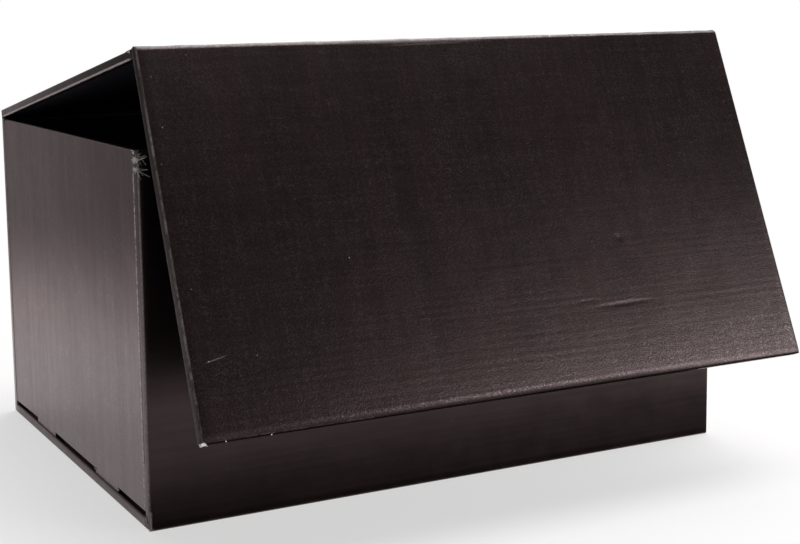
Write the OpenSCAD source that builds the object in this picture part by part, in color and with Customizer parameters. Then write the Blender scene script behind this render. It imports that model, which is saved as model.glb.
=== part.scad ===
// Hamper box of wrapped corrugated board, in millimetres. The lid stands ajar and the front flap hangs open.
// The origin is the middle of the case's underside, with the front wall towards -Y.

/* [Case] */
// Width of the case, outside
case_w = 520; // [360:10:640]
// Depth of the case from the front wall's face to the back wall's face
case_d = 390; // [290:10:480]
// Height of the front and back walls above the floor
case_h = 282; // [180:2:340]
// Thickness of the front and back walls
wall_t = 9; // [6:0.5:12]
// Thickness of the base
base_t = 8; // [6:0.5:12]
// Rounding of the wrapped edges of the case
edge_r = 1.5; // [0.5:0.1:2]
// Width of the mitre cut inside each bottom fold
mitre_w = 0.4; // [0.2:0.1:0.8]
// Board left uncut outside the mitre
fold_skin = 1.6; // [1:0.1:3]

/* [End walls] */
// Thickness of one leaf of the folded end wall
leaf_t = 3.2; // [2:0.1:4]
// Space between the two leaves
leaf_gap = 1; // [0.4:0.1:3]
// How far the end wall sits in from the ends of the front and back walls
end_recess = 1.5; // [1:0.1:5]
// How far the rolled top edge stays below the front and back walls
end_drop = 0.5; // [0:0.1:3]
// Rounding of the rolled top edge
roll_r = 2.4; // [1:0.1:3]
// Gap between the base and the outer leaf's lower edge
foot_gap = 4; // [2:0.1:8]
// Width of each tab
tab_w = 58; // [30:1:80]
// Distance between the middles of the two tabs
tab_pitch = 176; // [120:2:200]
// Depth to which the tabs sit in the base
tab_depth = 3.5; // [2:0.1:4]
// Clearance round each tab in its slot
tab_clear = 0.3; // [0.2:0.1:0.6]
// Width of the glue flanges
flange_w = 40; // [20:1:60]
// Thickness of the pressed glue flanges
flange_t = 1.6; // [1:0.1:2]
// Clearance between the leaves and the walls
leaf_clear = 0.3; // [0.2:0.1:0.8]

/* [Lid] */
// Thickness of the lid
lid_t = 7; // [5:0.5:10]
// Rounding of the lid's wrapped edges
lid_edge_r = 1.2; // [0.5:0.1:1.8]
// Gap between the closed lid and the walls
lid_clear = 0.4; // [0.3:0.1:1]
// Angle to which the lid stands open
lid_angle = 9.5; // [0:0.5:110]

/* [Front flap] */
// Height of the closed flap's lower edge above the floor
flap_lift = 5.4; // [2:0.2:60]
// Thickness of the flap
flap_t = 9; // [6:0.5:12]
// Rounding of the flap's wrapped edges
flap_edge_r = 1.5; // [0.5:0.1:2]
// Rounding of the flap's top edge, crushed by the hinge crease
flap_top_r = 4.5; // [2:0.1:5]
// Gap between the closed flap and the front wall
flap_clear = 0.4; // [0.3:0.1:1]
// Angle to which the flap stands open, from square to the lid
flap_angle = 13.5; // [0:0.5:150]

/* [Closure] */
// Diameter of the magnets and keepers
magnet_d = 18; // [10:1:30]
// Thickness of each magnet
magnet_t = 2; // [1:0.1:2.5]
// Thickness of each steel keeper
keeper_t = 1; // [0.5:0.1:2]
// Clearance round each disc in its pocket
pocket_clear = 0.2; // [0.1:0.1:0.4]
// Board and paper left over each pocket
pocket_skin = 1.2; // [0.8:0.1:1.8]
// Distance from each end of the flap to the middle of a magnet
magnet_in = 80; // [30:5:120]
// Height of the magnets above the flap's lower edge
magnet_up = 30; // [20:1:70]

/* [Hidden] */
$fn = 48;

front_y = -case_d / 2;
back_y = case_d / 2;
lid_top_z = case_h + lid_clear + lid_t;
flap_len = lid_top_z - flap_lift;
end_t = 2 * leaf_t + leaf_gap;
leaf_span = case_d - 2 * wall_t;
end_h = case_h - end_drop - base_t;
top_r = min(flap_top_r, flap_t / 2);

// Height of the discs with the flap closed, and the front faces of the magnets and keepers
magnet_z = flap_lift + magnet_up;
magnet_y = front_y - flap_clear - pocket_skin - pocket_clear - magnet_t;
keeper_y = front_y + pocket_skin + pocket_clear;

// The lid's crease lies along the outer top edge of the back wall
lid_hinge_y = back_y + lid_clear / 2;
lid_hinge_z = case_h + lid_clear / 2;
// The flap's crease lies along the top front edge of the lid
flap_hinge_y = front_y - flap_clear / 2;
flap_hinge_z = lid_top_z + flap_clear / 2;

// How far a cut runs past the face that it opens
over = 1;

board_color = [0.13, 0.11, 0.11];
end_color = [0.22, 0.2, 0.2];
magnet_color = [0.72, 0.73, 0.75];
keeper_color = [0.5, 0.5, 0.52];

// Rectangle with rounded corners, from its lower left corner
module soft_rect(w, h, r) {
    translate([r, 0]) square([w - 2 * r, h]);
    translate([0, r]) square([w, h - 2 * r]);
    for (x = [r, w - r], y = [r, h - r]) translate([x, y]) circle(r);
}

// Extrudes a profile drawn in Y and Z along the width of the box, centred
module along_width(w) {
    translate([-w / 2, 0, 0]) rotate([90, 0, 90]) linear_extrude(w) children();
}

// Everything inside the case's footprint, with its upright corners rounded
module footprint(h) {
    translate([-case_w / 2, front_y, 0]) linear_extrude(h) soft_rect(case_w, case_d, edge_r);
}

// Thin cut from the inner corner of a bottom fold towards the outer corner
module mitre_cut() {
    corner = norm([wall_t, base_t]);
    translate([wall_t, base_t]) rotate(atan2(base_t, wall_t) + 180)
        translate([-mitre_w, -mitre_w / 2]) square([corner - fold_skin + mitre_w, mitre_w]);
}

module case_profile() {
    difference() {
        union() {
            translate([front_y, 0]) soft_rect(wall_t, case_h, edge_r);
            translate([back_y - wall_t, 0]) soft_rect(wall_t, case_h, edge_r);
            translate([front_y, 0]) soft_rect(case_d, base_t, edge_r);
        }
        translate([front_y, 0]) mitre_cut();
        translate([back_y, 0]) mirror([1, 0]) mitre_cut();
    }
}

// Disc lying in a board, its middle at magnet_z and its front face at y
module disc(side, y, d, t) {
    translate([side * (case_w / 2 - magnet_in), y + t, magnet_z]) rotate([90, 0, 0]) cylinder(h = t, d = d);
}

// Sealed pocket for a disc whose front face is at y
module pocket(side, y, t) {
    disc(side, y - pocket_clear, magnet_d + 2 * pocket_clear, t + 2 * pocket_clear);
}

// Slots in the base that take the tabs of one end wall
module tab_slots(side) {
    for (s = [-1, 1])
        translate([side * (case_w / 2 - end_recess - leaf_t / 2), s * tab_pitch / 2, base_t])
            cube([leaf_t + 2 * tab_clear, tab_w + 2 * tab_clear, 2 * tab_depth], center = true);
}

module case_body() {
    color(board_color) difference() {
        intersection() {
            along_width(case_w) case_profile();
            footprint(case_h);
        }
        for (side = [-1, 1]) {
            tab_slots(side);
            pocket(side, keeper_y, keeper_t);
        }
    }
}

// The two leaves and the top that rolls over between them, seen from the front, outer face at x = 0
module end_profile() {
    difference() {
        union() {
            square([end_t, end_h - roll_r]);
            translate([roll_r, 0]) square([end_t - 2 * roll_r, end_h]);
            for (x = [roll_r, end_t - roll_r]) translate([x, end_h - roll_r]) circle(roll_r);
        }
        translate([leaf_t, -over]) square([leaf_gap, end_h - leaf_t + over]);
    }
}

// The raised lower edge of the outer leaf, between and beside its tabs
module foot_cut() {
    translate([-over, front_y, base_t - over])
        cube([over + leaf_t + leaf_gap / 2, case_d, over + foot_gap]);
}

// One tab of the outer leaf, standing on the floor of its slot
module tab() {
    translate([0, -tab_w / 2, base_t - tab_depth]) cube([leaf_t, tab_w, tab_depth + foot_gap + over]);
}

// One glue flange, against the inner face of the front wall
module flange() {
    translate([0, -leaf_span / 2, base_t + foot_gap])
        cube([flange_w, flange_t, end_h - foot_gap - leaf_t - leaf_clear]);
}

// Room for a flange at the front end of the inner leaf
module flange_cut() {
    translate([leaf_t + leaf_gap / 2, -leaf_span / 2 - over, base_t - over])
        cube([end_t, over + flange_t + leaf_clear, over + end_h - leaf_t]);
}

// One end wall, outer face towards -X and at x = 0, standing on the base
module end_wall() {
    difference() {
        translate([0, leaf_span / 2 - leaf_clear, base_t]) rotate([90, 0, 0])
            linear_extrude(leaf_span - 2 * leaf_clear) end_profile();
        foot_cut();
        flange_cut();
        mirror([0, 1, 0]) flange_cut();
    }
    for (s = [-1, 1]) translate([0, s * tab_pitch / 2, 0]) tab();
    flange();
    mirror([0, 1, 0]) flange();
}

module left_end_wall() {
    color(end_color) translate([-case_w / 2 + end_recess, 0, 0]) end_wall();
}

module right_end_wall() {
    color(end_color) translate([case_w / 2 - end_recess, 0, 0]) mirror([1, 0, 0]) end_wall();
}

// Turns what is drawn closed to where the lid stands
module with_lid() {
    translate([0, lid_hinge_y, lid_hinge_z]) rotate([-lid_angle, 0, 0])
        translate([0, -lid_hinge_y, -lid_hinge_z]) children();
}

// Turns what is drawn closed to where the flap hangs
module with_flap() {
    with_lid() translate([0, flap_hinge_y, flap_hinge_z]) rotate([-flap_angle, 0, 0])
        translate([0, -flap_hinge_y, -flap_hinge_z]) children();
}

module lid() {
    color(board_color) with_lid() intersection() {
        along_width(case_w) translate([front_y, case_h + lid_clear]) soft_rect(case_d, lid_t, lid_edge_r);
        translate([0, 0, case_h]) footprint(lid_t + 2 * lid_clear);
    }
}

// The flap's section: its top outer edge is crushed round, the others are wrapped edges
module flap_profile() {
    translate([front_y - flap_clear - flap_t, flap_lift]) {
        soft_rect(flap_t, flap_len - top_r, flap_edge_r);
        translate([0, flap_len / 2]) square([flap_t, flap_len / 2 - top_r]);
        translate([top_r, flap_len / 2]) square([flap_t - top_r, flap_len / 2]);
        translate([top_r, flap_len - top_r]) circle(top_r);
    }
}

module front_flap() {
    color(board_color) with_flap() difference() {
        intersection() {
            along_width(case_w) flap_profile();
            translate([-case_w / 2, 0, flap_lift]) rotate([90, 0, 0])
                linear_extrude(case_d) soft_rect(case_w, flap_len + flap_edge_r, flap_edge_r);
        }
        for (side = [-1, 1]) pocket(side, magnet_y, magnet_t);
    }
}

module left_flap_magnet() {
    color(magnet_color) with_flap() disc(-1, magnet_y, magnet_d, magnet_t);
}

module right_flap_magnet() {
    color(magnet_color) with_flap() disc(1, magnet_y, magnet_d, magnet_t);
}

module left_keeper() {
    color(keeper_color) disc(-1, keeper_y, magnet_d, keeper_t);
}

module right_keeper() {
    color(keeper_color) disc(1, keeper_y, magnet_d, keeper_t);
}

case_body();
left_end_wall();
right_end_wall();
lid();
front_flap();
left_flap_magnet();
right_flap_magnet();
left_keeper();
right_keeper();
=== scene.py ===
import math
import random
import bmesh
import bpy
from mathutils import Matrix, Vector


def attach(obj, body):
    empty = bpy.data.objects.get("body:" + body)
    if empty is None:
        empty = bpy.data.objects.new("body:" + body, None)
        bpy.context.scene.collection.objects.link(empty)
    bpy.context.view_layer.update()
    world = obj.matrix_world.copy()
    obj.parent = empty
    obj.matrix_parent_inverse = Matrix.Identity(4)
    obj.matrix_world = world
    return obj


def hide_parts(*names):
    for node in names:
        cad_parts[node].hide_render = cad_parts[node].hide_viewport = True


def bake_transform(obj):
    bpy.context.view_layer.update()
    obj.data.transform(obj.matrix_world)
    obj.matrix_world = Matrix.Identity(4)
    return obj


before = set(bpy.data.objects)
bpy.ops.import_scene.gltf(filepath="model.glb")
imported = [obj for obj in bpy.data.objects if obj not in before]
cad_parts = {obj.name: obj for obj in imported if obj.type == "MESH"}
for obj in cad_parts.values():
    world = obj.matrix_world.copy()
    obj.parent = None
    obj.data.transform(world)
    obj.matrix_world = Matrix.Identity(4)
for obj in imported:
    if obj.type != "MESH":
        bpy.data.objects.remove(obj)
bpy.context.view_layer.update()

# ---------------------------------------------------------------- View
# The box is seen from its front left corner, from a little above the open lid's front edge.
# The lens is a short telephoto, shifted a little so that the box fills the frame as in the photograph.
eye = Vector((-0.6064, -1.2243, 0.3841))
heading, tilt, roll = math.radians(26.675), math.radians(-7.623), math.radians(-0.916)
ahead = Vector((math.sin(heading) * math.cos(tilt), math.cos(heading) * math.cos(tilt), math.sin(tilt)))
aside = Vector((math.cos(heading), -math.sin(heading), 0))
upward = aside.cross(ahead)
right = math.cos(roll) * aside + math.sin(roll) * upward
top = math.cos(roll) * upward - math.sin(roll) * aside
bpy.ops.object.camera_add(location=eye)
camera = bpy.context.object
camera.rotation_euler = Matrix((right, top, -ahead)).transposed().to_euler()
camera.data.sensor_width = 36
camera.data.lens = 68.282
camera.data.shift_x = 0.0599
camera.data.shift_y = -0.0828
camera.data.clip_start = 0.05
bpy.context.scene.camera = camera
bpy.context.scene.view_settings.view_transform = "Standard"

# ---------------------------------------------------------------- Case
# One long corrugated board, cut with a mitre along both bottom folds, wrapped in dark brown satin paper
# and lined with black paper. Folded up, it is the front wall, the base and the back wall.
case_w, case_d, case_h = 0.520, 0.390, 0.282
wall_t, base_t, edge_r = 0.009, 0.008, 0.0015
front_y, back_y = -case_d / 2, case_d / 2
turn_in = 0.005      # wrap paper left bare round the lining of the lid and the flap
lining_t, lining_edge, lining_gap = 0.0001, 0.0003, 0.0006


def board(name, low, high):
    """Starts a board as a block between two corners, and leaves it open in edit mode."""
    bpy.ops.object.select_all(action="DESELECT")
    low, high = Vector(low), Vector(high)
    bpy.ops.mesh.primitive_cube_add(size=1, location=(low + high) / 2, scale=high - low)
    piece = bpy.context.object
    piece.name = piece.data.name = name
    bpy.ops.object.transform_apply()
    bpy.ops.object.mode_set(mode="EDIT")
    return piece


def cut(at, normal):
    """Cuts the open mesh along a plane, all through."""
    bpy.ops.mesh.select_mode(type="VERT")
    bpy.ops.mesh.select_all(action="SELECT")
    bpy.ops.mesh.bisect(plane_co=at, plane_no=normal)


def pick(piece, mode, kind, fits):
    bpy.ops.mesh.select_mode(type=mode)
    bpy.ops.mesh.select_all(action="DESELECT")
    mesh = bmesh.from_edit_mesh(piece.data)
    for part in getattr(mesh, kind):
        part.select_set(bool(fits(part)))
    if mode == "VERT":
        mesh.select_flush_mode()
    bmesh.update_edit_mesh(piece.data)


def pick_faces(piece, rule):
    """Selects the faces of the open mesh by their middle and normal."""
    pick(piece, "FACE", "faces", lambda face: rule(face.calc_center_median(), face.normal))


def pick_edges(piece, rule):
    """Selects the edges of the open mesh by their middle and direction."""
    def fits(edge):
        a, b = (v.co for v in edge.verts)
        return rule((a + b) / 2, (b - a).normalized())
    pick(piece, "EDGE", "edges", fits)


def pick_points(piece, rule):
    """Selects the points of the open mesh by their place."""
    pick(piece, "VERT", "verts", lambda point: rule(point.co))


def near(a, b):
    return abs(a - b) < 1e-5


def pull_out(offset):
    """Extrudes the selected faces by an offset."""
    bpy.ops.mesh.extrude_region_move(TRANSFORM_OT_translate={"value": offset})


def line_with(piece, paper, short):
    """Lays a lining sheet on the selected faces, a little short of their border."""
    bpy.ops.mesh.inset(thickness=short, depth=0, use_boundary=True, use_even_offset=True)
    bpy.ops.mesh.inset(thickness=lining_edge, depth=lining_t, use_boundary=True, use_even_offset=True)
    piece.data.materials.append(paper)
    piece.active_material_index = len(piece.data.materials) - 1
    bpy.ops.object.material_slot_assign()


def close():
    """Ends the work in edit mode, with doubles merged, normals outwards and rounded edges smooth."""
    bpy.ops.mesh.select_mode(type="VERT")
    bpy.ops.mesh.select_all(action="SELECT")
    bpy.ops.mesh.remove_doubles(threshold=1e-6)
    bpy.ops.mesh.normals_make_consistent(inside=False)
    bpy.ops.object.mode_set(mode="OBJECT")
    bpy.ops.object.shade_smooth_by_angle(angle=math.radians(35))


def put(tree, kind, fill=None, **settings):
    """Adds a shader node, with its settings, and fills or joins its inputs."""
    node = tree.nodes.new(kind)
    for name, value in settings.items():
        setattr(node, name, value)
    for name, value in (fill or {}).items():
        if isinstance(value, bpy.types.NodeSocket):
            tree.links.new(value, node.inputs[name])
        else:
            node.inputs[name].default_value = value
    return node


def calc(tree, operation, *values):
    return put(tree, "ShaderNodeMath", dict(enumerate(values)), operation=operation).outputs[0]


def calc3(tree, operation, *values):
    return put(tree, "ShaderNodeVectorMath", dict(enumerate(values)), operation=operation).outputs[0]


def plus(tree, total, value, share):
    """A total with a share of a value added."""
    return calc(tree, "ADD", total, calc(tree, "MULTIPLY", value, share))


def at_least(tree, total, value, share):
    """The larger of a total and a share of a value."""
    return calc(tree, "MAXIMUM", total, calc(tree, "MULTIPLY", value, share))


def ease(tree, value, low, high, to_low=0.0, to_high=1.0):
    """Goes smoothly from one value to another as the input crosses a range."""
    return put(tree, "ShaderNodeMapRange",
               {"Value": value, "From Min": low, "From Max": high, "To Min": to_low, "To Max": to_high},
               interpolation_type="SMOOTHSTEP").outputs[0]


def noise(tree, at, scale, detail=2.0, roughness=0.5):
    return put(tree, "ShaderNodeTexNoise",
               {"Vector": at, "Scale": scale, "Detail": detail, "Roughness": roughness}).outputs[0]


def cells(tree, at, scale):
    """Random cells: a random value for each, and the distance from its middle."""
    made = put(tree, "ShaderNodeTexVoronoi", {"Vector": at, "Scale": scale, "Randomness": 1.0}).outputs
    return put(tree, "ShaderNodeSeparateColor", {0: made["Color"]}).outputs[0], made["Distance"]


def stretch(tree, at, scale):
    return calc3(tree, "MULTIPLY", at, scale)


def parts(tree, vector):
    """The X, Y and Z of a vector."""
    return put(tree, "ShaderNodeSeparateXYZ", {0: vector}).outputs


def mix(tree, share, one, other):
    """Goes from one colour to another by a share from 0 to 1."""
    return put(tree, "ShaderNodeMix", {0: share, 6: one, 7: other}, data_type="RGBA").outputs[2]


def relief(tree, height):
    """Turns a height in metres into the normal of the surface."""
    return put(tree, "ShaderNodeBump", {"Height": height, "Distance": 1.0, "Strength": 1.0}).outputs[0]


def effect(name, takes, gives):
    """Starts a shader node group, and returns its tree, its inputs and a way to set its outputs."""
    tree = bpy.data.node_groups.new(name, "ShaderNodeTree")
    for label, kind, value in takes:
        socket = tree.interface.new_socket(label, in_out="INPUT", socket_type="NodeSocket" + kind)
        socket.default_value = value
    for label in gives:
        tree.interface.new_socket(label, in_out="OUTPUT", socket_type="NodeSocketFloat")
    given, made = tree.nodes.new("NodeGroupInput"), tree.nodes.new("NodeGroupOutput")
    return tree, given.outputs, lambda label, value: tree.links.new(value, made.inputs[label])


def use(tree, group, fill):
    return put(tree, "ShaderNodeGroup", fill, node_tree=group).outputs


def depth_in_box(tree, given):
    """How far inside a box a point lies, on each axis."""
    off_middle = calc3(tree, "ABSOLUTE", calc3(tree, "SUBTRACT", given["Vector"], given["Middle"]))
    return parts(tree, calc3(tree, "SUBTRACT", given["Half Size"], off_middle))


vector_in = ("Vector", "Vector", (0, 0, 0))
box_in = [vector_in, ("Middle", "Vector", (0, 0, 0)), ("Half Size", "Vector", (1, 1, 1))]

# How far a point of a board's face is from the board's nearest edge.
board_edge, given, give = effect("board edge distance", box_in, ["Distance"])
dx, dy, dz = depth_in_box(board_edge, given)
give("Distance", calc(board_edge, "MAXIMUM", calc(board_edge, "MINIMUM", dx, dy),
                      calc(board_edge, "MINIMUM", calc(board_edge, "MAXIMUM", dx, dy), dz)))

# Where handling has rubbed the satin film off the paper along an edge, in broken lines.
net, given, give = effect("edge rub", [
    vector_in, ("Distance", "Float", 1.0), ("Width", "Float", 0.001), ("Amount", "Float", 1.0)], ["Mask"])
edge_rub, at = net, given["Vector"]
ragged = calc(net, "MULTIPLY", calc(net, "SUBTRACT", noise(net, at, 1100), 0.5), given["Width"])
reach = calc(net, "DIVIDE", calc(net, "ADD", given["Distance"], ragged), given["Width"])
line = calc(net, "SUBTRACT", 1.0, ease(net, reach, 0.45, 1.1))
patchy = ease(net, noise(net, at, 26), 0.3, 0.62, 0.35, 1.0)
dashes = ease(net, noise(net, at, 190, 2, 0.6), 0.36, 0.6, 0.3, 1.0)
broken = calc(net, "MULTIPLY", line, calc(net, "MULTIPLY", patchy, dashes))
give("Mask", calc(net, "MULTIPLY", broken, given["Amount"]))

# A soft box in space, to say where on a piece the wear is heavier.
net, given, give = effect("worn place", box_in + [("Soft", "Float", 0.002)], ["Mask"])
worn_place = net
ix, iy, iz = depth_in_box(net, given)
least = calc(net, "MINIMUM", calc(net, "MINIMUM", ix, iy), iz)
give("Mask", ease(net, calc(net, "DIVIDE", least, given["Soft"]), 0.0, 1.0))

# The washboard that the flutes of the board leave in the paper, unevenly deep, across Y and Z.
net, given, give = effect("flute ribs", [vector_in, ("Pitch", "Float", 0.0061)], ["Height"])
flute_ribs, at = net, given["Vector"]
over, up = parts(net, at)[1:]
wander = calc(net, "MULTIPLY", noise(net, stretch(net, at, (4, 22, 22)), 1), 1.6)
turns = calc(net, "DIVIDE", calc(net, "MULTIPLY", calc(net, "ADD", over, up), 2 * math.pi), given["Pitch"])
wave = calc(net, "SINE", calc(net, "ADD", turns, wander))
uneven = ease(net, noise(net, stretch(net, at, (9, 130, 130)), 1), 0.3, 0.7, 0.25, 1.25)
give("Height", calc(net, "MULTIPLY", wave, uneven))

# The film on the paper: fine grain, flecks that lie in a faint weave, cloudy mottling, fine streaks one way,
# soft upright bands and rare specks.
net, given, give = effect("satin film", [vector_in, ("Specks", "Float", 1.0), ("Run", "Vector", (5, 230, 230))],
                          ["Grain", "Fleck", "Mottle", "Streak", "Bands", "Speck"])
film, at = net, given["Vector"]
weave = calc(net, "MULTIPLY", ease(net, noise(net, stretch(net, at, (330, 330, 12)), 1), 0.38, 0.62, 0.55, 1.4),
             ease(net, noise(net, stretch(net, at, (12, 330, 330)), 1), 0.38, 0.62, 0.6, 1.3))
give("Grain", noise(net, at, 850, 0, 0.4))
give("Fleck", calc(net, "MULTIPLY", weave, ease(net, cells(net, at, 1250.0)[0], 0.45, 1.0)))
give("Mottle", noise(net, at, 70, 5, 0.65))
give("Streak", noise(net, stretch(net, at, given["Run"]), 1, 3, 0.6))
give("Bands", noise(net, stretch(net, at, (26, 26, 2.2)), 1, 3, 0.55))
rare, off_middle = cells(net, at, 42.0)
dot = calc(net, "MULTIPLY", ease(net, rare, 0.86, 1.0, 0.0, 0.6), ease(net, off_middle, 0.024, 0.012))
give("Speck", calc(net, "MULTIPLY", dot, given["Specks"]))

# One long or round mark on a board's face, such as a scratch or a chip, by its place across and up.
net, given, give = effect("face mark", [
    vector_in, ("Place", "Vector", (0, 0, 0)), ("Slope", "Float", 0.0), ("Half Length", "Float", 0.01),
    ("Half Width", "Float", 0.001), ("Ragged", "Float", 0.5)], ["Mask"])
face_mark, at = net, given["Vector"]
flat = stretch(net, calc3(net, "SUBTRACT", at, given["Place"]), (1, 0, 1))
laid = parts(net, put(net, "ShaderNodeVectorRotate", {"Vector": flat, "Angle": given["Slope"]},
                      rotation_type="Y_AXIS").outputs[0])
along, across = calc(net, "DIVIDE", laid[0], given["Half Length"]), calc(net, "DIVIDE", laid[2], given["Half Width"])
rough = calc(net, "MULTIPLY", calc(net, "SUBTRACT", noise(net, at, 900, 3), 0.5), given["Ragged"])
far = calc(net, "SQRT", plus(net, calc(net, "MULTIPLY", along, along), across, across))
give("Mask", ease(net, calc(net, "ADD", far, rough), 1.0, 0.55))


def blank(look):
    """Empties a new material or world, and returns its node tree."""
    look.use_nodes = True
    look.node_tree.nodes.clear()
    return look.node_tree


def worn_spot(tree, at, middle, size, soft):
    return use(tree, worn_place, {"Vector": at, "Middle": middle, "Half Size": size, "Soft": soft})[0]


def fold_edge(tree, at, boxes):
    """Distance to the nearest edge of the folded case, where each wall counts up to its mitre."""
    x, y, z = parts(tree, at)
    y = calc(tree, "ABSOLUTE", y)
    half = put(tree, "ShaderNodeCombineXYZ", {0: x, 1: y, 2: z}).outputs[0]
    wall, base = (use(tree, board_edge, {"Vector": half, "Middle": m, "Half Size": h})[0] for m, h in boxes)
    side = calc(tree, "SUBTRACT", calc(tree, "MULTIPLY", z, wall_t),
                calc(tree, "MULTIPLY", calc(tree, "SUBTRACT", back_y, y), base_t))
    in_wall = calc(tree, "GREATER_THAN", side, -1e-9)
    edge = put(tree, "ShaderNodeMix", {0: in_wall, 2: base, 3: wall}).outputs[0]
    # The mitre shows on the ends as a line.
    off_mitre = calc(tree, "DIVIDE", calc(tree, "ABSOLUTE", side), math.hypot(wall_t, base_t))
    at_corner = calc(tree, "MULTIPLY", calc(tree, "LESS_THAN", z, base_t + 0.0005),
                     calc(tree, "GREATER_THAN", y, back_y - wall_t - 0.0005))
    off_mitre = calc(tree, "ADD", off_mitre, calc(tree, "SUBTRACT", 1.0, at_corner))
    return calc(tree, "MINIMUM", edge, calc(tree, "ADD", off_mitre, 0.0001))


def satin_paper(name, turn=0.0, shift=(0, 0, 0), boxes=(), folded=False, side_on=False, marked_to=0.0,
                rub=0.2, rub_width=0.0008, worn=(), matt=(), glossy=(), lines=(), chips=(), scratches=(),
                ribs=0.000012, brushed=0.00002, run=(5, 230, 230), streaks=0.35, specks=1.0, grainy=1.0,
                sheen=0.06, roughness=0.31, level=0.42, tint=(1, 0.79, 0.79, 1)):
    """Dark brown satin paper on board. Turn and shift bring the shared frame into the board's own."""
    paper = bpy.data.materials.new(name)
    tree = blank(paper)
    at = put(tree, "ShaderNodeMapping", {"Vector": put(tree, "ShaderNodeTexCoord").outputs["Object"],
                                         "Location": shift, "Rotation": (turn, 0, 0)}).outputs[0]
    if folded:
        edge = fold_edge(tree, at, boxes)
    else:
        edge = use(tree, board_edge, {"Vector": at, "Middle": boxes[0], "Half Size": boxes[1]})[0]
    amount = rub
    for middle, size, soft, strength in worn:
        amount = plus(tree, amount, worn_spot(tree, at, middle, size, soft), strength)
    rubbed = use(tree, edge_rub, {"Vector": at, "Distance": edge, "Width": rub_width, "Amount": amount})[0]
    grain, fleck, mottle, streak, bands, speck = use(tree, film, {"Vector": at, "Specks": specks, "Run": run})
    # The colour: warm brown in soft upright bands, lighter where it is rubbed, pale where it is chipped.
    cloud = plus(tree, ease(tree, bands, 0.36, 0.64, 0, 0.7), ease(tree, streak, 0.35, 0.7), streaks)
    cloud = plus(tree, cloud, ease(tree, mottle, 0.3, 0.7), 0.2)
    colour = mix(tree, cloud, (0.0016, 0.0010, 0.0010, 1), (0.0075, 0.0036, 0.0033, 1))
    fleck = calc(tree, "MULTIPLY", fleck, grainy)
    dull = 0.0
    # Matt spots are rougher and keep few of their pale flecks, so they are darker as well.
    for middle, size, soft, strength in matt:
        spot = worn_spot(tree, at, middle, size, soft)
        fleck = calc(tree, "MULTIPLY", fleck, ease(tree, spot, 0.0, 1.0, 1.0, 0.25))
        dull = plus(tree, dull, spot, strength)
    colour = mix(tree, fleck, colour, (0.022, 0.0155, 0.0158, 1))
    # Marks are placed across and up the face that they are on, and stay on that side of the board.
    face = at
    if side_on:
        sx, sy, sz = parts(tree, at)
        face = put(tree, "ShaderNodeCombineXYZ", {0: sy, 1: sx, 2: sz}).outputs[0]
    this_side = calc(tree, "LESS_THAN", parts(tree, face)[1], marked_to)

    def marked(total, marks, ragged):
        for place, slope, length, width, strength in marks:
            mark = use(tree, face_mark, {"Vector": face, "Place": place, "Slope": slope, "Half Length": length,
                                         "Half Width": width, "Ragged": ragged})[0]
            total = at_least(tree, total, calc(tree, "MULTIPLY", mark, this_side), strength)
        return total

    pale = marked(speck, chips, 0.5)
    scuffed = marked(rubbed, scratches, 1.3)
    for middle, size, soft, strength, solid in lines:
        broken = ease(tree, noise(tree, at, 420, 2, 0.6), 0.40, 0.60, solid, 1.0)
        line = calc(tree, "MULTIPLY", worn_spot(tree, at, middle, size, soft), broken)
        pale = at_least(tree, pale, line, strength)
    colour = mix(tree, scuffed, colour, (0.34, 0.295, 0.29, 1))
    colour = mix(tree, pale, colour, (0.72, 0.69, 0.67, 1))
    # The relief, in metres: grain, flutes and the soft unevenness of glued paper.
    height = calc(tree, "MULTIPLY", grain, 0.00008 * grainy)
    if ribs:
        deep = ease(tree, parts(tree, at)[2], 0.20, 0.03, 0.2 * ribs, 1.2 * ribs)
        height = plus(tree, height, use(tree, flute_ribs, {"Vector": at})[0], deep)
    uneven = noise(tree, at, 11)
    for form, metres in ((mottle, 0.000035), (streak, brushed), (uneven, 0.0011), (scuffed, -0.00006)):
        height = plus(tree, height, form, metres)
    gloss = calc(tree, "ADD", ease(tree, mottle, 0.3, 0.7, roughness - 0.01, roughness + 0.02),
                 ease(tree, fleck, 0.0, 1.0, 0.03, -0.05))
    gloss = calc(tree, "ADD", plus(tree, gloss, calc(tree, "MAXIMUM", scuffed, pale), 0.3), dull)
    coat = plus(tree, calc(tree, "MULTIPLY", fleck, 0.55), ease(tree, streak, 0.32, 0.68), sheen)
    for middle, size, soft, strength in glossy:
        coat = plus(tree, coat, worn_spot(tree, at, middle, size, soft), strength)
    shader = put(tree, "ShaderNodeBsdfPrincipled", {
        "Base Color": colour, "Roughness": gloss, "Normal": relief(tree, height), "Specular IOR Level": level,
        "Specular Tint": tint, "Coat Weight": coat, "Coat Roughness": 0.28})
    put(tree, "ShaderNodeOutputMaterial", {0: shader.outputs[0]})
    return paper


def black_lining(name):
    """The matt black paper that lines the inside of the boards."""
    paper = bpy.data.materials.new(name)
    tree = blank(paper)
    at = put(tree, "ShaderNodeTexCoord").outputs["Object"]
    grain, fleck, mottle, streak, bands, speck = use(tree, film, {"Vector": at, "Specks": 0.35})
    colour = mix(tree, ease(tree, mottle, 0.35, 0.7), (0.0055, 0.0055, 0.0080, 1), (0.0085, 0.0085, 0.0120, 1))
    colour = mix(tree, speck, colour, (0.35, 0.34, 0.34, 1))
    height = plus(tree, calc(tree, "MULTIPLY", grain, 0.00003), noise(tree, at, 14), 0.0009)
    shader = put(tree, "ShaderNodeBsdfPrincipled", {
        "Base Color": colour, "Normal": relief(tree, height), "Specular IOR Level": 0.04,
        "Roughness": ease(tree, mottle, 0.3, 0.7, 0.66, 0.78)})
    put(tree, "ShaderNodeOutputMaterial", {0: shader.outputs[0]})
    return paper


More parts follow.
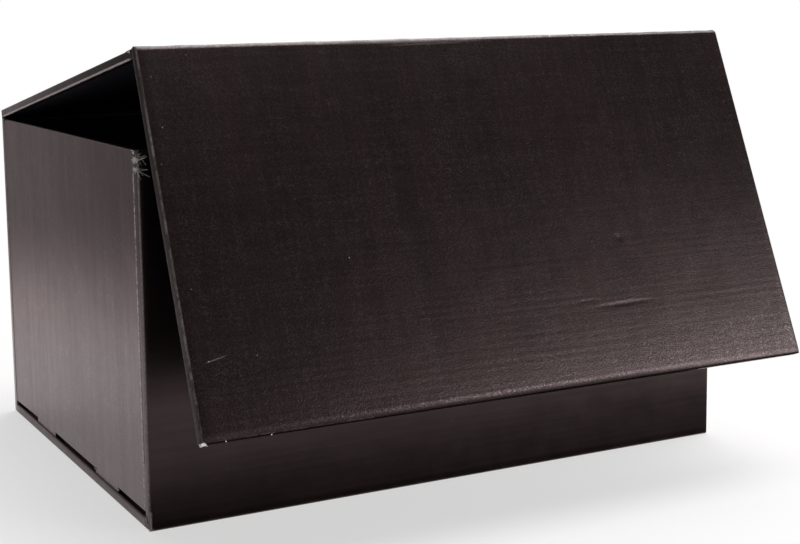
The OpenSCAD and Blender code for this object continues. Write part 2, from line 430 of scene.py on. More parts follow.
case = board("case", (-case_w / 2, front_y, 0), (case_w / 2, back_y, base_t))
for y in (front_y + wall_t, back_y - wall_t):
    cut((0, y, 0), (0, 1, 0))
pick_faces(case, lambda p, n: n.z > 0.9 and abs(p.y) > back_y - wall_t)
pull_out((0, 0, case_h - base_t))
# Wrapped edges are rounded, while the inner corner of each fold stays sharp.
pick_edges(case, lambda p, d: not (near(abs(p.y), back_y - wall_t) and near(p.z, base_t))
           and not (near(abs(p.y), back_y - wall_t) and near(p.z, 0))
           and not (near(p.z, base_t) and near(abs(p.y), back_y))
           and not (near(p.z, base_t / 2) and near(abs(p.y), back_y - wall_t)))
bpy.ops.mesh.bevel(offset=edge_r, segments=4, affect="EDGES", clamp_overlap=True)
case_film = dict(grainy=0.12, level=1.0, brushed=0.00004, sheen=0.13, tint=(1, 0.76, 0.76, 1), streaks=0.6,
                 roughness=0.285)
left_x = -case_w / 2
case_paper = satin_paper(
    "case paper", folded=True, ribs=0.000004, rub=0.08, rub_width=0.0022, **case_film,
    boxes=(((0, back_y - wall_t / 2, case_h / 2), (case_w / 2, wall_t / 2, case_h / 2)),
           ((0, 0, base_t / 2), (case_w / 2, back_y, base_t / 2))),
    worn=[((left_x, front_y + 0.002, 0.004), (0.004, 0.010, 0.012), 0.002, 1.2)],
    matt=[((left_x, front_y, 0.14), (0.002, 0.012, 0.16), 0.001, 0.10),
          ((left_x, 0, 0.004), (0.002, 0.2, 0.005), 0.001, 0.12),
          ((left_x, -0.1878, 0.165), (0.002, 0.0007, 0.115), 0.0003, 0.6)],
    lines=[((left_x + 0.0003, front_y + 0.0004, 0.135), (0.0010, 0.0010, 0.138), 0.0004, 0.28, 0.6),
           ((left_x, 0.1872, 0.145), (0.003, 0.0013, 0.133), 0.0005, 0.20, 0.6)],
    glossy=[((left_x, 0.1910, 0.14), (0.002, 0.0050, 0.16), 0.001, 0.45)],
    scratches=[((0.247, 0, 0.0792), 0.068, 0.014, 0.0005, 0.5)])
case.data.materials.append(case_paper)
lining = black_lining("black lining")
# The slots of the tabs, and the lining between the end walls.
slot_in, slot_out, slot_y, slot_half, slot_deep, lined_x = 0.255, 0.2588, 0.088, 0.0293, 0.0035, 0.2508
for x in (slot_in, slot_out, lined_x):
    for side in (-1, 1):
        cut((side * x, 0, 0), (1, 0, 0))
for side in (-1, 1):
    for y in (slot_y - slot_half, slot_y + slot_half):
        cut((0, side * y, 0), (0, 1, 0))
pick_faces(case, lambda p, n: n.z > 0.9 and near(p.z, base_t) and slot_in < abs(p.x) < slot_out
           and abs(abs(p.y) - slot_y) < slot_half)
pull_out((0, 0, -slot_deep))
inside_y = back_y - wall_t
pick_faces(case, lambda p, n: abs(p.x) < lined_x and ((n.z > 0.9 and near(p.z, base_t))
                                                       or (near(abs(p.y), inside_y) and n.y * p.y < 0)))
line_with(case, lining, lining_gap)
close()
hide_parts("case_body")
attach(case, "case")

# ---------------------------------------------------------------- End walls
# A sheet of thin board, folded over at the top into two leaves and pushed in between the walls. Two tabs of
# the outer leaf sit in slots of the base, and glued flanges hold both ends. The right one is the same blank.
leaf_t, leaf_gap, end_recess, end_drop, roll_r = 0.0032, 0.001, 0.0015, 0.0005, 0.0024
foot_gap, tab_w, tab_pitch, tab_depth = 0.004, 0.058, 0.176, 0.0035
flange_w, flange_t, leaf_clear = 0.040, 0.0016, 0.0003
end_t = 2 * leaf_t + leaf_gap
rear_bow = 0.0012     # how far the rear end of the outer leaf stands out
leaf_x = -case_w / 2 + end_recess
leaf_y = inside_y - leaf_clear
foot_z, end_top = base_t + foot_gap, case_h - end_drop

left_end = board("left_end_sheet", (leaf_x, -leaf_y, foot_z), (leaf_x + end_t, leaf_y, end_top))
pick_edges(left_end, lambda p, d: near(p.z, end_top) and abs(d.y) > 0.9)
bpy.ops.mesh.bevel(offset=roll_r, segments=6, affect="EDGES")
cut((leaf_x + leaf_t, 0, 0), (1, 0, 0))
cut((leaf_x + leaf_t + leaf_gap, 0, 0), (1, 0, 0))
for middle in (-tab_pitch / 2, tab_pitch / 2):
    for y in (middle - tab_w / 2, middle + tab_w / 2):
        cut((0, y, 0), (0, 1, 0))
low = lambda p, n: n.z < -0.9 and near(p.z, foot_z)
pick_faces(left_end, lambda p, n: low(p, n) and p.x > leaf_x + leaf_t + leaf_gap)
pull_out((0, 0, -foot_gap))
pick_faces(left_end, lambda p, n: low(p, n) and p.x < leaf_x + leaf_t and abs(abs(p.y) - tab_pitch / 2) < tab_w / 2)
pull_out((0, 0, -foot_gap - tab_depth))
pick_faces(left_end, lambda p, n: low(p, n) and leaf_x + leaf_t < p.x < leaf_x + leaf_t + leaf_gap)
pull_out((0, 0, end_top - leaf_t - foot_z))
# The rear end of the outer leaf bows out, nearly flush with the back wall's end.
pick_faces(left_end, lambda p, n: n.y > 0.9 and near(p.y, leaf_y) and p.x < leaf_x + leaf_t)
bpy.ops.transform.translate(value=(-rear_bow, 0, 0))
bpy.ops.mesh.select_all(action="DESELECT")
for side in (-1, 1):
    low_y, high_y = sorted((side * inside_y, side * (inside_y - flange_t)))
    bpy.ops.mesh.primitive_cube_add(size=1, location=(leaf_x + flange_w / 2 + leaf_t / 2, (low_y + high_y) / 2,
                                                      (foot_z + end_top - leaf_t - leaf_clear) / 2),
                                    scale=(flange_w - leaf_t, flange_t, end_top - leaf_t - leaf_clear - foot_z))
close()
end_film = dict(side_on=True, ribs=0, rub=0.1, streaks=0.6, run=(230, 230, 2), brushed=0.000005, sheen=0.16,
                roughness=0.27, level=0.78, tint=(1, 0.62, 0.64, 1), grainy=0.3)
end_half = (end_t / 2, leaf_y, (end_top - foot_z) / 2)
end_paper = satin_paper(
    "end wall paper", boxes=((leaf_x + end_t / 2, 0, (foot_z + end_top) / 2), end_half), **end_film,
    marked_to=leaf_x + 0.002, worn=[((leaf_x, 0, end_top), (0.003, 0.2, 0.002), 0.001, 0.8)],
    lines=[((leaf_x, -0.1806, 0.145), (0.003, 0.0016, 0.130), 0.0004, 0.80, 0.05)],
    chips=[((-0.0015, 0, 0.1607), 0, 0.0008, 0.0006, 0.5), ((0.0376, 0, 0.1330), 0, 0.0008, 0.0006, 0.6),
           ((0.0288, 0, 0.1206), 0, 0.0008, 0.0006, 0.8), ((0.0332, 0, 0.2016), 0, 0.0007, 0.0005, 0.3),
           ((-0.0499, 0, 0.2733), 0, 0.0008, 0.0006, 0.5)],
    scratches=[((-0.1287, 0, 0.2110), 0.314, 0.0064, 0.0005, 0.35)])
left_end.data.materials.append(end_paper)
bpy.ops.object.duplicate()
right_end = bpy.context.object
right_end.name = right_end.data.name = "right_end_sheet"
bpy.ops.transform.mirror(constraint_axis=(True, False, False), orient_type="GLOBAL", center_override=(0, 0, 0))
bpy.ops.object.transform_apply()
bpy.ops.object.mode_set(mode="EDIT")
bpy.ops.mesh.select_all(action="SELECT")
bpy.ops.mesh.normals_make_consistent(inside=False)
bpy.ops.object.mode_set(mode="OBJECT")
right_paper = satin_paper(
    "right end wall paper", boxes=((-leaf_x - end_t / 2, 0, (foot_z + end_top) / 2), end_half), **end_film,
    worn=[((-leaf_x, 0, end_top), (0.003, 0.2, 0.002), 0.001, 0.8)])
right_end.data.materials.clear()
right_end.data.materials.append(right_paper)
for piece, node in ((left_end, "left_end_wall"), (right_end, "right_end_wall")):
    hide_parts(node)
    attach(piece, "case")

# ---------------------------------------------------------------- Lid
# A flat board of the same make, lined underneath, that hangs on a crease of the wrap paper along the outer
# top edge of the back wall. It stands ajar, held up by the stiffness of its paper.
lid_t, lid_r, lid_clear, lid_open = 0.007, 0.0012, 0.0004, math.radians(9.5)
lid_low, lid_high = case_h + lid_clear, case_h + lid_clear + lid_t
lid_crease = Vector((0, back_y + lid_clear / 2, case_h + lid_clear / 2))


def swing(pivot, angle):
    """The turn of a board about a crease along the width, the way that opens it."""
    return Matrix.Translation(pivot) @ Matrix.Rotation(-angle, 4, "X") @ Matrix.Translation(-pivot)


def place(piece, move):
    """Moves a closed board to where it stands, and applies it."""
    bpy.ops.object.select_all(action="DESELECT")
    piece.select_set(True)
    bpy.context.view_layer.objects.active = piece
    piece.matrix_world = move
    bpy.ops.object.transform_apply()


ajar = swing(lid_crease, lid_open)
back_to_closed = ajar.inverted()
lid = board("lid_board", (-case_w / 2, front_y, lid_low), (case_w / 2, back_y, lid_high))
pick_edges(lid, lambda p, d: True)
bpy.ops.mesh.bevel(offset=lid_r, segments=4, affect="EDGES")
lid.data.materials.append(satin_paper(
    "lid paper", turn=back_to_closed.to_euler().x, shift=back_to_closed.translation,
    boxes=((0, 0, (lid_low + lid_high) / 2), (case_w / 2, case_d / 2, lid_t / 2)),
    rub_width=0.0014, grainy=0.6,
    lines=[((left_x, 0, lid_low + 0.0008), (0.0016, 0.19, 0.0007), 0.0003, 0.6, 0.5)],
    # The matt spot here only takes out the pale flecks: the lower band of the left end is darker.
    matt=[((left_x, 0, lid_low + 0.0035), (0.003, 0.2, 0.004), 0.001, 0.0)],
    worn=[((0, 0, lid_low), (0.27, 0.19, 0.0020), 0.0008, 3.0)]))
pick_faces(lid, lambda p, n: n.z < -0.9 and near(p.z, lid_low))
line_with(lid, lining, turn_in)
close()
place(lid, ajar)
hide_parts("lid")
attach(lid, "lid")

# ---------------------------------------------------------------- Front flap
# A thicker board as long as the whole front, on a second paper crease along the lid's front edge. Its top
# edge is crushed round by the crease. Two magnets inside it hold it to the front wall when it is shut.
flap_t, flap_foot, flap_clear, flap_open = 0.009, 0.0054, 0.0004, math.radians(13.5)
flap_top_r, flap_foot_r, flap_end_r = 0.0045, 0.0016, 0.0014
flap_back = front_y - flap_clear
flap_face = flap_back - flap_t
flap_mid = flap_face + flap_t / 2
flap_crease = Vector((0, front_y - flap_clear / 2, lid_high + flap_clear / 2))
hanging = ajar @ swing(flap_crease, flap_open)
back_to_shut = hanging.inverted()

flap = board("flap_board", (-case_w / 2, flap_face, flap_foot), (case_w / 2, flap_back, lid_high))
pick_edges(flap, lambda p, d: near(p.y, flap_face) and near(p.z, lid_high))
bpy.ops.mesh.bevel(offset=flap_top_r, segments=8, affect="EDGES")
# The face falls back over the last millimetres above the foot, less so at the right end.
roll_reach, roll_fall, full_roll_x = 0.0068, 0.0014, 0.100
roll_rows = (0, 0.0022, 0.0033, 0.0044, 0.0056, roll_reach)
cut((full_roll_x, 0, 0), (1, 0, 0))
for row in roll_rows[1:]:
    cut((0, 0, flap_foot + row), (0, 0, 1))
for row in roll_rows[:-1]:
    fall = roll_fall * (1 - row / roll_reach) ** 2
    for share, low_x, high_x in ((1.0, -1, full_roll_x + 1e-4), (0.25, full_roll_x + 1e-4, 1)):
        pick_points(flap, lambda p: near(p.y, flap_face) and near(p.z, flap_foot + row) and low_x < p.x < high_x)
        bpy.ops.transform.translate(value=(0, share * fall, 0))
pick_edges(flap, lambda p, d: p.y < flap_back - 0.001 and near(p.z, flap_foot) and abs(d.x) > 0.9)
bpy.ops.mesh.bevel(offset=flap_foot_r, segments=6, affect="EDGES")
pick_edges(flap, lambda p, d: (abs(d.x) > 0.9 and near(p.y, flap_back)
                               and (near(p.z, flap_foot) or near(p.z, lid_high)))
           or (abs(p.x) > case_w / 2 - 1e-4 and not (abs(d.y) > 0.9 and flap_foot + 1e-4 < p.z < lid_high - 1e-4)))
bpy.ops.mesh.bevel(offset=flap_end_r, segments=4, affect="EDGES")
# The top edge is crushed a little unevenly where it was creased.
crush_step, crush_in, crush_down, crush_end = 0.008, 0.0042, 0.0060, 0.002
for number in range(1, round(case_w / crush_step)):
    cut((-case_w / 2 + number * crush_step, 0, 0), (1, 0, 0))
pick_points(flap, lambda p: p.y < flap_face + crush_in and p.z > lid_high - crush_down
            and abs(p.x) < case_w / 2 - crush_end)
flap.vertex_groups.new(name="crushed")
bpy.ops.object.vertex_group_assign()
bpy.ops.object.mode_set(mode="OBJECT")
dimples = bpy.data.textures.new("crushed edge", "CLOUDS")
dimples.noise_scale = 0.014
crush = flap.modifiers.new("crush", "DISPLACE")
crush.texture, crush.vertex_group, crush.strength, crush.mid_level = dimples, "crushed", 0.0011, 0.7
bpy.ops.object.modifier_apply(modifier="crush")
flap.vertex_groups.clear()
bpy.ops.object.mode_set(mode="EDIT")
# Three dents in the face: two long shallow ones and a short steep one. Each is pressed in by a few nested steps.
dent_steps = 6
for low_x, high_x, low_z, high_z, bands, fine in ((0.052, 0.148, 0.0570, 0.0750, 6, 3),
                                                  (0.100, 0.124, 0.1098, 0.1218, 4, 5)):
    for band in range(bands + 1):
        cut((0, 0, low_z + band * (high_z - low_z) / bands), (0, 0, 1))
    pick_faces(flap, lambda p, n: n.y < -0.9 and low_x < p.x < high_x and low_z < p.z < high_z)
    bpy.ops.mesh.subdivide(number_cuts=fine)
for dent_x, dent_z, slope, half_long, half_wide, deep in ((0.1018, 0.0638, 0.018, 0.0360, 0.0026, 0.00022),
                                                          (0.0680, 0.0692, 0.025, 0.0130, 0.0018, 0.00008),
                                                          (0.1103, 0.1158, -1.12, 0.0052, 0.0022, 0.00030)):
    for step in range(dent_steps):
        reach, inner = 1 - step / dent_steps, (step + 1) / dent_steps
        press = deep * (inner ** 2 * (3 - 2 * inner) - (1 - reach) ** 2 * (1 + 2 * reach))
        pick_points(flap, lambda p: p.y < flap_back - 0.004 and math.hypot(
            ((p.x - dent_x) * math.cos(slope) + (p.z - dent_z) * math.sin(slope)) / half_long,
            ((p.z - dent_z) * math.cos(slope) - (p.x - dent_x) * math.sin(slope)) / half_wide) < reach)
        bpy.ops.transform.translate(value=(0, press, 0))
flap.data.materials.append(satin_paper(
    "flap paper", turn=back_to_shut.to_euler().x, shift=back_to_shut.translation,
    boxes=((0, (flap_face + flap_back) / 2, (flap_foot + lid_high) / 2),
           (case_w / 2, flap_t / 2, (lid_high - flap_foot) / 2)),
    rub=0.03, rub_width=0.0017, specks=0.5, marked_to=flap_face + 0.004, sheen=0.08, level=0.40,
    tint=(1, 0.74, 0.74, 1), grainy=0.9,
    worn=[((left_x, flap_mid, 0.15), (0.002, 0.006, 0.15), 0.001, 0.65),
          ((-0.2, flap_face, flap_foot), (0.07, 0.003, 0.003), 0.001, 0.25)],
    matt=[((left_x, flap_mid, 0.15), (0.002, 0.006, 0.15), 0.001, 0.32),
          # Along the foot the matt spot only takes out the pale flecks: painted shade on the foot's rounded underside.
          ((0, flap_face, flap_foot), (0.27, 0.0050, 0.0022), 0.0008, 0.0),
          ((-left_x, flap_mid, 0.15), (0.002, 0.006, 0.15), 0.001, 0.26)],
    chips=[((-0.2455, 0, 0.0596), 0, 0.0008, 0.0007, 0.30), ((-0.2495, 0, 0.2271), 0.5, 0.0007, 0.0005, 0.35),
           ((-0.2549, 0, 0.2004), 0.2, 0.0007, 0.0005, 0.25), ((-0.2515, 0, 0.2649), 0, 0.0006, 0.0005, 0.2),
           ((-0.2229, 0, 0.2805), 0.3, 0.0006, 0.0006, 0.2), ((-0.2099, 0, 0.0598), 0.9, 0.0008, 0.0005, 0.2),
           ((-0.1263, 0, 0.1215), 0.2, 0.0008, 0.0006, 0.25), ((-0.2488, 0, 0.1104), 0, 0.0006, 0.0004, 0.25)],
    scratches=[((-0.2398, 0, 0.0606), 0.215, 0.0100, 0.00045, 0.35),
               ((-0.0700, 0, 0.2858), -0.0100, 0.1150, 0.0015, 0.20),
               ((-0.0250, 0, 0.2835), 0.012, 0.0420, 0.0009, 0.14)]))
pick_faces(flap, lambda p, n: n.y > 0.9 and near(p.y, flap_back) and abs(p.x) < case_w / 2 - flap_end_r
           and p.z > flap_foot + flap_end_r)
line_with(flap, lining, turn_in)
close()
place(flap, hanging)
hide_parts("front_flap")
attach(flap, "flap")

# ---------------------------------------------------------------- Hinge paper
# The wrap paper that joins the back wall to the lid, and the lid to the flap, with nothing else at the joint.
# It is glued to both boards and free only for the last millimetre, where it is creased.
sheet_t, proud = 0.0003, 0.0001
strip_x = case_w / 2 - 0.0004
no_edge = (0, 0, 0.15), (2, 2, 2)     # the strips end under the wrap, so no edge of theirs is rubbed


def crease_on(rows):
    """Draws the selected end of a strip on through the rows, each given where it stands."""
    for here, there in zip(rows, rows[1:]):
        pull_out(there - here)


back_out = back_y + proud
strip_low, strip_top = 0.268, 0.2814
back_hinge = board("back_hinge_paper", (-strip_x, back_out - sheet_t, strip_low), (strip_x, back_out, strip_top))
pick_faces(back_hinge, lambda p, n: n.z > 0.9)
rows = [Vector((0, back_out, z)) for z in (strip_top, 0.2817, 0.2820, 0.2822)]
rows += [ajar @ Vector((0, back_out, z)) for z in (0.2824, 0.2827, 0.2830, 0.2835, 0.2875)]
rows += [ajar @ Vector((0, back_out - 0.0004, 0.2885))]
crease_on(rows)
close()
back_hinge.data.materials.append(satin_paper(
    "hinge paper", boxes=no_edge, specks=0.3, ribs=0, **case_film))
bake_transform(back_hinge)

top_out = lid_high + proud
strip_front, strip_back = -0.1942, -0.183
front_hinge = board("front_hinge_paper", (-strip_x, strip_front, top_out - sheet_t), (strip_x, strip_back, top_out))
bpy.ops.object.mode_set(mode="OBJECT")
place(front_hinge, ajar)
bpy.ops.object.mode_set(mode="EDIT")
pick_faces(front_hinge, lambda p, n: n.y < -0.9)
rows = [ajar @ Vector((0, y, top_out)) for y in (strip_front, -0.1945, -0.1948, -0.1951)]
rows += [hanging @ Vector((0, y, top_out)) for y in (-0.1953, -0.1956, -0.1959, -0.1962, -0.1992)]
rows += [hanging @ Vector((0, -0.2004, top_out - 0.0004))]
crease_on(rows)
close()
front_hinge.data.materials.append(satin_paper(
    "crease paper", turn=back_to_closed.to_euler().x, shift=back_to_closed.translation, boxes=no_edge,
    specks=0.3, ribs=0))
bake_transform(front_hinge)

# ---------------------------------------------------------------- Torn paper
# Handling has torn the wrap at the front wall's top left corner and at the flap's bottom left corner, down to
# the white fibres of the board's paper. Small burrs stand where the left end's tabs were pushed home.
chance = random.Random(7)


def white_fibre(name):
    fibre = bpy.data.materials.new(name)
    tree = blank(fibre)
    fleck = noise(tree, put(tree, "ShaderNodeTexCoord").outputs["Object"], 1600, 3)
    colour = mix(tree, ease(tree, fleck, 0.35, 0.6), (0.80, 0.78, 0.77, 1), (0.96, 0.95, 0.94, 1))
    shader = put(tree, "ShaderNodeBsdfPrincipled", {
        "Base Color": colour, "Normal": relief(tree, calc(tree, "MULTIPLY", fleck, 0.0001)),
        "Roughness": ease(tree, fleck, 0.3, 0.7, 0.8, 0.95)})
    put(tree, "ShaderNodeOutputMaterial", {0: shader.outputs[0]})
    return fibre


torn_white = white_fibre("torn white paper")


def flake(middle, across, up, width, height, ragged, seed):
    """A torn flake of paper: a fine grid with a ragged border, crumpled a little and given its thickness."""
    bpy.ops.object.select_all(action="DESELECT")
    bpy.ops.mesh.primitive_grid_add(x_subdivisions=9, y_subdivisions=9, size=1)
    piece = bpy.context.object
    bpy.ops.object.mode_set(mode="EDIT")
    torn = random.Random(seed)
    pick_faces(piece, lambda p, n: (2 * p.x) ** 2 + (2 * p.y) ** 2 > torn.uniform(0.45, 1.3))
    bpy.ops.mesh.delete(type="FACE")
    bpy.ops.mesh.select_all(action="SELECT")
    bpy.ops.transform.vertex_random(offset=0.06, seed=seed)
    bpy.ops.object.mode_set(mode="OBJECT")
    across, up = Vector(across).normalized(), Vector(up).normalized()
    out = across.cross(up)
    spread = Matrix((across * width, up * height, out * ragged)).transposed().to_4x4()
    piece.matrix_world = Matrix.Translation(middle) @ spread
    bpy.ops.object.transform_apply()
    thick = piece.modifiers.new("paper", "SOLIDIFY")
    thick.thickness, thick.offset = 0.00015, 0
    bpy.ops.object.modifier_apply(modifier="paper")
    return piece


def hair(start, end, lift, radius):
    """A loose fibre, curved between two points."""
    bpy.ops.object.select_all(action="DESELECT")
    bpy.ops.curve.primitive_bezier_curve_add()
    piece = bpy.context.object
    start, end, lift = Vector(start), Vector(end), Vector(lift)
    for point, spot, side in zip(piece.data.splines[0].bezier_points, (start, end), (1, -1)):
        point.co = spot
        point.handle_left_type = point.handle_right_type = "FREE"
        point.handle_right = spot + (end - start) * 0.35 * side + lift
        point.handle_left = spot - (end - start) * 0.35 * side + lift * side
    piece.data.bevel_depth, piece.data.bevel_resolution, piece.data.resolution_u = radius, 0, 8
    bpy.ops.object.convert(target="MESH")
    return bpy.context.object


def gather(name, parts, body):
    """Joins loose bits into one piece that rides on a body."""
    bpy.ops.object.select_all(action="DESELECT")
    for part in parts:
        part.select_set(True)
    bpy.context.view_layer.objects.active = parts[0]
    bpy.ops.object.join()
    piece = bpy.context.object
    piece.name = piece.data.name = name
    bpy.ops.object.transform_apply()
    piece.data.materials.clear()
    piece.data.materials.append(torn_white)
    bpy.ops.object.mode_set(mode="EDIT")
    bpy.ops.mesh.select_all(action="SELECT")
    bpy.ops.mesh.normals_make_consistent(inside=False)
    bpy.ops.object.mode_set(mode="OBJECT")
    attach(piece, body)


slant = Vector((0.89, -0.45, 0))
bits = [flake((left_x - 0.0008, -0.1934, 0.2757), slant, (0, 0, 1), 0.0026, 0.0030, 0.0010, 3),
        flake((left_x - 0.0008, -0.1936, 0.2682), slant, (0, 0, 1), 0.0020, 0.0022, 0.0008, 8),
        flake((left_x - 0.0003, -0.1880, 0.2800), (0, 1, 0), (0, 0, 1), 0.0040, 0.0014, 0.0005, 5)]
# Stiff shreds stand out like a star from each tear, and finer hairs curl off to the right of it.
for middle, shreds, longest in ((Vector((left_x - 0.0009, -0.1936, 0.2757)), 10, 0.0030),
                                (Vector((left_x - 0.0009, -0.1938, 0.2682)), 7, 0.0022)):
    for number in range(shreds):
        turn = 2 * math.pi * (number + chance.uniform(-0.25, 0.25)) / shreds
        long = chance.uniform(0.6, 1.0) * longest
        rise = Vector((-0.0003, -chance.uniform(0, 0.0006), math.sin(turn) * long))
        bow = (0, chance.uniform(-0.0004, 0.0004), chance.uniform(-0.0005, 0.0005))
        bits.append(hair(middle, middle + slant * math.cos(turn) * long + rise, bow, chance.uniform(0.00028, 0.00046)))
bits.append(hair((left_x - 0.0003, -0.1836, 0.2816), (left_x - 0.0003, -0.1893, 0.2812), (0, 0, 0.0003), 0.00028))
for number in range(12):
    z = chance.choice((0.280, 0.278, 0.275, 0.270, 0.267)) + chance.uniform(-0.001, 0.001)
    start = (left_x + chance.uniform(0, 0.001), front_y - 0.0001, z)
    end = (left_x + chance.uniform(0.0005, 0.0080), front_y - chance.uniform(0.0008, 0.0045),
           z + chance.uniform(-0.006, 0.004))
    lift = (chance.uniform(-0.001, 0.001), chance.uniform(-0.0016, 0), chance.uniform(-0.002, 0.002))
    bits.append(hair(start, end, lift, 0.00010))
# The wrap has split along the mitre at the foot of the same corner.
bits.append(hair((left_x - 0.0002, -0.1872, 0.0092), (left_x - 0.0002, -0.1946, 0.0012),
                 (-0.0002, 0.0006, 0.0006), 0.00030))
bits.append(hair((left_x - 0.0002, -0.1880, 0.0105), (left_x - 0.0004, -0.1905, 0.0060),
                 (-0.0002, 0, 0.0004), 0.00026))
gather("torn_wall_corner", bits, "case")

foot = hanging @ Vector((left_x, flap_face, flap_foot))
down = (hanging.to_3x3() @ Vector((0, 0, -1))).normalized()
out = (hanging.to_3x3() @ Vector((0, -1, 0))).normalized()
wide = Vector((1, 0, 0))
bits = [flake(foot + wide * along - out * inward + down * below, across, up, width, height, ragged, seed)
        for along, inward, below, across, up, width, height, ragged, seed in (
            (0.0002, 0.0040, 0.0002, -out, -down, 0.0044, 0.0026, 0.0012, 11),
            (0.0012, 0.0008, 0.0003, wide, -down, 0.0044, 0.0024, 0.0012, 12),
            (0.0016, 0.0022, 0.0008, wide, -out, 0.0040, 0.0042, 0.0014, 13),
            (0.0171, 0.0004, 0.0002, wide, -down, 0.0012, 0.0006, 0.0005, 14),
            (0.0504, 0.0004, 0.0003, wide, -down, 0.0012, 0.0007, 0.0005, 15))]
for number in range(7):
    start = foot + wide * chance.uniform(0, 0.003) - out * chance.uniform(0, 0.006)
    end = start + down * chance.uniform(0.0008, 0.0018) + wide * chance.uniform(-0.0015, 0.0015)
    end += out * chance.uniform(-0.001, 0.001)
    bits.append(hair(start, end, out * chance.uniform(-0.0006, 0.0006), 0.00008))
gather("frayed_flap_corner", bits, "flap")

corner = ajar @ Vector((left_x - 0.0003, front_y + 0.0020, lid_high - 0.0016))
bits = [flake(corner, (0, 1, 0), (0, 0, 1), 0.0026, 0.0020, 0.0006, 31)]
for number in range(4):
    stray = Vector((-chance.uniform(0, 0.0008), chance.uniform(-0.0010, 0.0030), chance.uniform(-0.0012, 0.0008)))
    bits.append(hair(corner, corner + stray, (0, 0, 0.0002), 0.00020))
gather("frayed_lid_corner", bits, "lid")

bits = [flake((leaf_x - 0.0003, y, z), (0, 1, 0), (0, 0, 1), width, height, ragged, seed)
        for y, z, width, height, ragged, seed in ((-0.0590, 0.0112, 0.0028, 0.0016, 0.0006, 21),
                                                  (-0.1194, 0.0108, 0.0022, 0.0014, 0.0006, 22),
                                                  (0.0593, 0.0112, 0.0016, 0.0010, 0.0004, 23))]
gather("tab_burrs", bits, "case")

# ---------------------------------------------------------------- Magnets and keepers
# Nickel-plated magnet discs in the flap and stamped steel discs in the front wall, sealed in the board
# before it was wrapped, so that they show only where the board is cut open.


def disc_metal(name, tone, roughness):
    metal = bpy.data.materials.new(name)
    tree = blank(metal)
    brushed = noise(tree, stretch(tree, put(tree, "ShaderNodeTexCoord").outputs["Object"], (60, 600, 900)), 1, 3)
    colour = mix(tree, brushed, (*(0.85 * v for v in tone), 1), (*tone, 1))
    shader = put(tree, "ShaderNodeBsdfPrincipled", {
        "Base Color": colour, "Metallic": 1.0, "Normal": relief(tree, calc(tree, "MULTIPLY", brushed, 0.00001)),
        "Roughness": ease(tree, brushed, 0.3, 0.7, roughness, roughness + 0.15)})
    put(tree, "ShaderNodeOutputMaterial", {0: shader.outputs[0]})
    return metal


nickel = disc_metal("nickel plate", (0.62, 0.60, 0.57), 0.18)
steel = disc_metal("stamped steel", (0.46, 0.46, 0.47), 0.34)
for node, metal in (("left_flap_magnet", nickel), ("right_flap_magnet", nickel),
                    ("left_keeper", steel), ("right_keeper", steel)):
    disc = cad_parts[node]
    if not disc.data.materials:
        disc.data.materials.append(metal)
    for number in range(len(disc.data.materials)):
        disc.data.materials[number] = metal

# ---------------------------------------------------------------- Floor and lamps
# A plain pale floor that goes over into white away from the box, under one large soft lamp overhead, with a
# second soft lamp low at the front right. The floor keeps the box's shadow.
bpy.ops.mesh.primitive_plane_add(size=400, location=(0, 0, 0))
floor = bpy.context.object
floor.name = "floor"
pale = bpy.data.materials.new("pale floor")
tree = blank(pale)
at = put(tree, "ShaderNodeTexCoord").outputs["Object"]
away = put(tree, "ShaderNodeVectorMath", {0: stretch(tree, at, (1, 1, 0))}, operation="LENGTH").outputs["Value"]
path = put(tree, "ShaderNodeLightPath").outputs
mirrored = calc(tree, "MAXIMUM", path["Is Glossy Ray"], path["Is Transmission Ray"])
seen = calc(tree, "MAXIMUM", path["Is Camera Ray"], mirrored)
# In reflections the floor's white is tinted pink: a painted warm tint in what the boards mirror.
ground = mix(tree, path["Is Glossy Ray"], (1, 1, 1, 1), (1, 0.93, 0.935, 1))
white = put(tree, "ShaderNodeEmission", {"Color": ground, "Strength": 1.0}).outputs[0]
floor_level_shader = put(tree, "ShaderNodeBsdfDiffuse", {"Color": (0.90, 0.90, 0.90, 1)}).outputs[0]
whiter = calc(tree, "MULTIPLY", seen, ease(tree, away, 0.30, 0.72, 0.60, 1.0))
mixed = put(tree, "ShaderNodeMixShader", {0: whiter, 1: floor_level_shader, 2: white}).outputs[0]
put(tree, "ShaderNodeOutputMaterial", {0: mixed})
floor.data.materials.append(pale)


def mirrored_card(name, location, size, turned=0.0):
    """A card that only reflections see."""
    bpy.ops.mesh.primitive_plane_add(size=1, location=location, rotation=(turned, 0, 0))
    card = bpy.context.object
    card.name = name
    card.scale = (*size, 1)
    bpy.ops.object.transform_apply()
    for kind in ("camera", "diffuse", "transmission", "volume_scatter", "shadow"):
        setattr(card, "visible_" + kind, False)
    return card


# A glowing card behind the left end, seen only in reflections, is a painted reflection: bright low down and darker
# upwards, like a studio's far wall mirrored in the end wall.
card = mirrored_card("painted_reflection_card", (-0.75, 0.52, 0.45), (0.96, 0.88), math.radians(90))
grey = bpy.data.materials.new("painted reflection card")
tree = blank(grey)
sideways, inward, up = parts(tree, put(tree, "ShaderNodeTexCoord").outputs["Object"])
tone = calc(tree, "MULTIPLY", ease(tree, up, -0.03, 0.15, 0.84, 0.240),
            ease(tree, sideways, -0.62, -0.30, 0.66, 1.75))
tone = mix(tree, tone, (0, 0, 0, 1), (1, 0.86, 0.87, 1))
glow = put(tree, "ShaderNodeEmission", {"Color": tone, "Strength": 1.0}).outputs[0]
put(tree, "ShaderNodeOutputMaterial", {0: glow})
card.data.materials.append(grey)
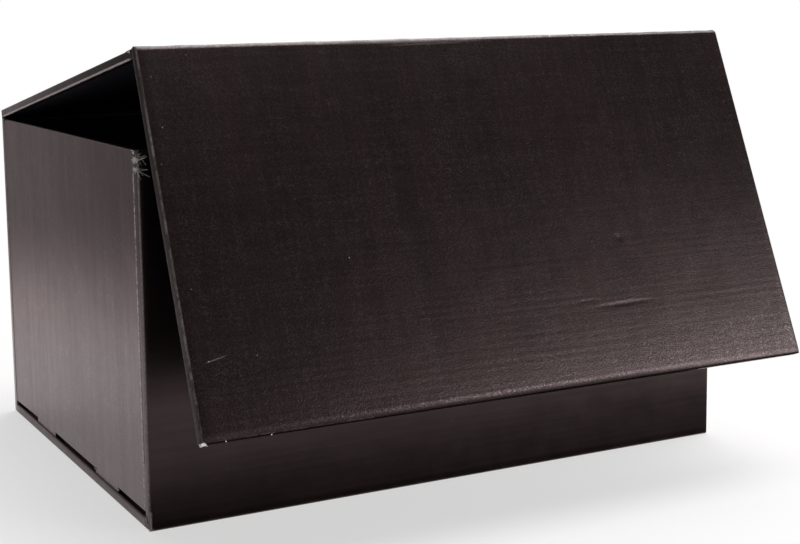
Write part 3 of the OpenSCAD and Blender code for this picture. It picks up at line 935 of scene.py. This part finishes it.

# A dark card on the floor before the box, seen only in reflections, is painted shade: it stands for the deep shade
# there.
shade = mirrored_card("painted_shade_card", (0.10, -0.75, 0.0012), (1.40, 1.11))
painted_shade = bpy.data.materials.new("painted shade card")
tree = blank(painted_shade)
over, out = parts(tree, put(tree, "ShaderNodeTexCoord").outputs["Object"])[:2]
cover = calc(tree, "MULTIPLY", ease(tree, plus(tree, out, over, 0.20), -0.54, -0.30), ease(tree, over, 0.62, 0.40))
cover = at_least(tree, cover, ease(tree, over, 0.72, -0.05, 0.0, 0.57), ease(tree, out, -1.30, -0.95))
# The card's dark glow is painted shade, mirrored by the boards above it.
dull = put(tree, "ShaderNodeEmission", {"Color": (0.01, 0.008, 0.008, 1), "Strength": 1.0}).outputs[0]
clear = put(tree, "ShaderNodeBsdfTransparent").outputs[0]
floor_level_shader = put(tree, "ShaderNodeMixShader", {0: cover, 1: clear, 2: dull}).outputs[0]
put(tree, "ShaderNodeOutputMaterial", {0: floor_level_shader})
shade.data.materials.append(painted_shade)

room = bpy.data.worlds.new("room")
bpy.context.scene.world = room
tree = blank(room)
path = put(tree, "ShaderNodeLightPath").outputs
up = parts(tree, put(tree, "ShaderNodeTexCoord").outputs["Generated"])[2]
mirrored = calc(tree, "MAXIMUM", path["Is Glossy Ray"], path["Is Transmission Ray"])
seen = at_least(tree, path["Is Camera Ray"], mirrored, ease(tree, up, 0.07, 0.01))
dim = put(tree, "ShaderNodeBackground", {"Color": (0.075, 0.068, 0.068, 1), "Strength": 1.0}).outputs[0]
bright = put(tree, "ShaderNodeBackground", {"Color": (1, 1, 1, 1), "Strength": 1.0}).outputs[0]
walls = put(tree, "ShaderNodeMixShader", {0: seen, 1: dim, 2: bright}).outputs[0]
put(tree, "ShaderNodeOutputWorld", {0: walls})


def soft_lamp(name, place, aim, width, height, power, colour):
    bpy.ops.object.light_add(type="AREA", location=place)
    lamp = bpy.context.object
    lamp.name = name
    lamp.rotation_euler = (Vector(aim) - Vector(place)).to_track_quat("-Z", "Y").to_euler()
    lamp.data.shape = "RECTANGLE"
    lamp.data.size, lamp.data.size_y = width, height
    lamp.data.energy = power
    lamp.data.color = colour


soft_lamp("overhead", (0.60, 0.30, 2.0), (0, 0, 0), 2.1, 2.1, 66, (1, 0.97, 0.97))
soft_lamp("low_right", (1.18, -1.46, 0.445), (0.1, -0.25, 0.15), 1.1, 0.36, 12.0, (1, 0.95, 0.95))
